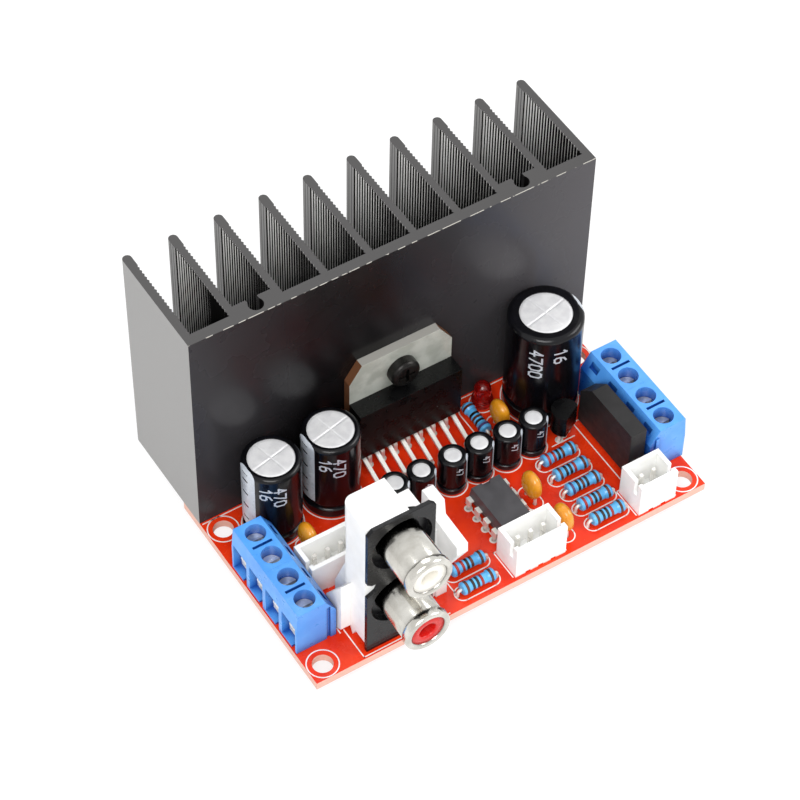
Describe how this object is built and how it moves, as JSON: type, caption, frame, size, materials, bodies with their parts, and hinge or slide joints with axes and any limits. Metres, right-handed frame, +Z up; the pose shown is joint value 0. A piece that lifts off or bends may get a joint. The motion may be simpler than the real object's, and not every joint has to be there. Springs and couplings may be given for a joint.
{
  "type": "audio amplifier board",
  "caption": "Small red circuit board with a black finned heatsink along its back edge, a tab-mounted power chip, capacitors, screw terminals, pin headers and stacked phono sockets.",
  "frame": {"origin": "centre of the four mounting holes on the underside of the board", "axes": "+X along the board's long edge to the right, +Y from the phono sockets back to the heatsink, +Z up from the component side"},
  "size_m": [0.0766, 0.0661, 0.0489],
  "materials": {
    "red_mask": "gloss",
    "black_anodised": "satin",
    "black_moulding": "satin",
    "tinned_lead": "satin",
    "tinned_copper": "satin",
    "black_rubber": "matt",
    "yellow_coating": "gloss",
    "black_steel": "satin",
    "white_nylon": "satin",
    "white_moulding": "satin",
    "white_insert": "gloss",
    "red_insert": "gloss",
    "zinc_steel": "satin",
    "nickel": "polished",
    "red_lens": "gloss",
    "blue_lacquer": "gloss",
    "bright_aluminium": "satin",
    "black_sleeve": "gloss",
    "solder": "gloss",
    "blue_plastic": "satin"
  },
  "bodies": {
    "board": {"amp_chip_body": "black_moulding", "amp_chip_leads": "tinned_lead", "amp_chip_tab": "tinned_copper", "bridge_rectifier_body": "black_moulding", "bridge_rectifier_leads": "tinned_lead", "capacitor_bungs": "black_rubber", "capacitor_leads": "tinned_lead", "ceramic_capacitor_leads": "tinned_lead", "ceramic_capacitors": "yellow_coating", "chip_screw": "black_steel", "circuit_board": "red_mask", "front_header": "white_nylon", "header_pins": "tinned_lead", "heatsink": "black_anodised", "heatsink_screws": "zinc_steel", "indicator_leads": "tinned_lead", "indicator_lens": "red_lens", "jack_contacts": "tinned_lead", "jack_housing": "white_moulding", "jack_insert_lower": "red_insert", "jack_insert_upper": "white_insert", "jack_plate": "black_moulding", "jack_shell_lower": "nickel", "jack_shell_upper": "nickel", "left_header": "white_nylon", "output_capacitor_cans": "bright_aluminium", "output_capacitor_sleeves": "black_sleeve", "preamp_chip_body": "black_moulding", "preamp_chip_leads": "tinned_lead", "regulator_body": "black_moulding", "regulator_leads": "tinned_lead", "resistor_leads": "tinned_lead", "resistors": "blue_lacquer", "right_header": "white_nylon", "small_capacitor_cans": "bright_aluminium", "small_capacitor_sleeves": "black_sleeve", "solder_joints": "solder", "supply_capacitor_can": "bright_aluminium", "supply_capacitor_sleeve": "black_sleeve", "terminal_contacts": "tinned_lead", "terminal_housing_1": "blue_plastic", "terminal_housing_2": "blue_plastic", "terminal_housing_3": "blue_plastic", "terminal_housing_4": "blue_plastic"},
    "screw_1": {"terminal_screw_1": "zinc_steel"},
    "cage_1": {"terminal_cage_1": "nickel"},
    "screw_2": {"terminal_screw_2": "zinc_steel"},
    "cage_2": {"terminal_cage_2": "nickel"},
    "screw_3": {"terminal_screw_3": "zinc_steel"},
    "cage_3": {"terminal_cage_3": "nickel"},
    "screw_4": {"terminal_screw_4": "zinc_steel"},
    "cage_4": {"terminal_cage_4": "nickel"},
    "screw_5": {"terminal_screw_5": "zinc_steel"},
    "cage_5": {"terminal_cage_5": "nickel"},
    "screw_6": {"terminal_screw_6": "zinc_steel"},
    "cage_6": {"terminal_cage_6": "nickel"},
    "screw_7": {"terminal_screw_7": "zinc_steel"},
    "cage_7": {"terminal_cage_7": "nickel"},
    "screw_8": {"terminal_screw_8": "zinc_steel"},
    "cage_8": {"terminal_cage_8": "nickel"}
  },
  "joints": [
    {"name": "cage_rise_1", "type": "slide", "parent": "board", "child": "cage_1", "axis": [0, 0, 1], "range_m": [0, 0.0018]},
    {"name": "screw_turn_1", "type": "hinge", "parent": "board", "child": "screw_1", "pos_m": [-0.0348, -0.00944, 0.0086], "axis": [0, 0, -1], "range_deg": [0, 1441]},
    {"name": "cage_rise_2", "type": "slide", "parent": "board", "child": "cage_2", "axis": [0, 0, 1], "range_m": [0, 0.0018]},
    {"name": "screw_turn_2", "type": "hinge", "parent": "board", "child": "screw_2", "pos_m": [-0.0348, -0.00436, 0.0086], "axis": [0, 0, -1], "range_deg": [0, 1441]},
    {"name": "cage_rise_3", "type": "slide", "parent": "board", "child": "cage_3", "axis": [0, 0, 1], "range_m": [0, 0.0018]},
    {"name": "screw_turn_3", "type": "hinge", "parent": "board", "child": "screw_3", "pos_m": [-0.0348, 0.00072, 0.0086], "axis": [0, 0, -1], "range_deg": [0, 1441]},
    {"name": "cage_rise_4", "type": "slide", "parent": "board", "child": "cage_4", "axis": [0, 0, 1], "range_m": [0, 0.0018]},
    {"name": "screw_turn_4", "type": "hinge", "parent": "board", "child": "screw_4", "pos_m": [-0.0348, 0.0058, 0.0086], "axis": [0, 0, -1], "range_deg": [0, 1441]},
    {"name": "cage_rise_5", "type": "slide", "parent": "board", "child": "cage_5", "axis": [0, 0, 1], "range_m": [0, 0.0018]},
    {"name": "screw_turn_5", "type": "hinge", "parent": "board", "child": "screw_5", "pos_m": [0.03535, -0.00901, 0.0086], "axis": [0, 0, -1], "range_deg": [0, 1441]},
    {"name": "cage_rise_6", "type": "slide", "parent": "board", "child": "cage_6", "axis": [0, 0, 1], "range_m": [0, 0.0018]},
    {"name": "screw_turn_6", "type": "hinge", "parent": "board", "child": "screw_6", "pos_m": [0.03535, -0.00393, 0.0086], "axis": [0, 0, -1], "range_deg": [0, 1441]},
    {"name": "cage_rise_7", "type": "slide", "parent": "board", "child": "cage_7", "axis": [0, 0, 1], "range_m": [0, 0.0018]},
    {"name": "screw_turn_7", "type": "hinge", "parent": "board", "child": "screw_7", "pos_m": [0.03535, 0.00115, 0.0086], "axis": [0, 0, -1], "range_deg": [0, 1441]},
    {"name": "cage_rise_8", "type": "slide", "parent": "board", "child": "cage_8", "axis": [0, 0, 1], "range_m": [0, 0.0018]},
    {"name": "screw_turn_8", "type": "hinge", "parent": "board", "child": "screw_8", "pos_m": [0.03535, 0.00623, 0.0086], "axis": [0, 0, -1], "range_deg": [0, 1441]}
  ],
  "couplings": [
    {"joint": "screw_turn_1", "follows": "cage_rise_1", "rad_per_m": 13963},
    {"joint": "screw_turn_2", "follows": "cage_rise_2", "rad_per_m": 13963},
    {"joint": "screw_turn_3", "follows": "cage_rise_3", "rad_per_m": 13963},
    {"joint": "screw_turn_4", "follows": "cage_rise_4", "rad_per_m": 13963},
    {"joint": "screw_turn_5", "follows": "cage_rise_5", "rad_per_m": 13963},
    {"joint": "screw_turn_6", "follows": "cage_rise_6", "rad_per_m": 13963},
    {"joint": "screw_turn_7", "follows": "cage_rise_7", "rad_per_m": 13963},
    {"joint": "screw_turn_8", "follows": "cage_rise_8", "rad_per_m": 13963}
  ]
}
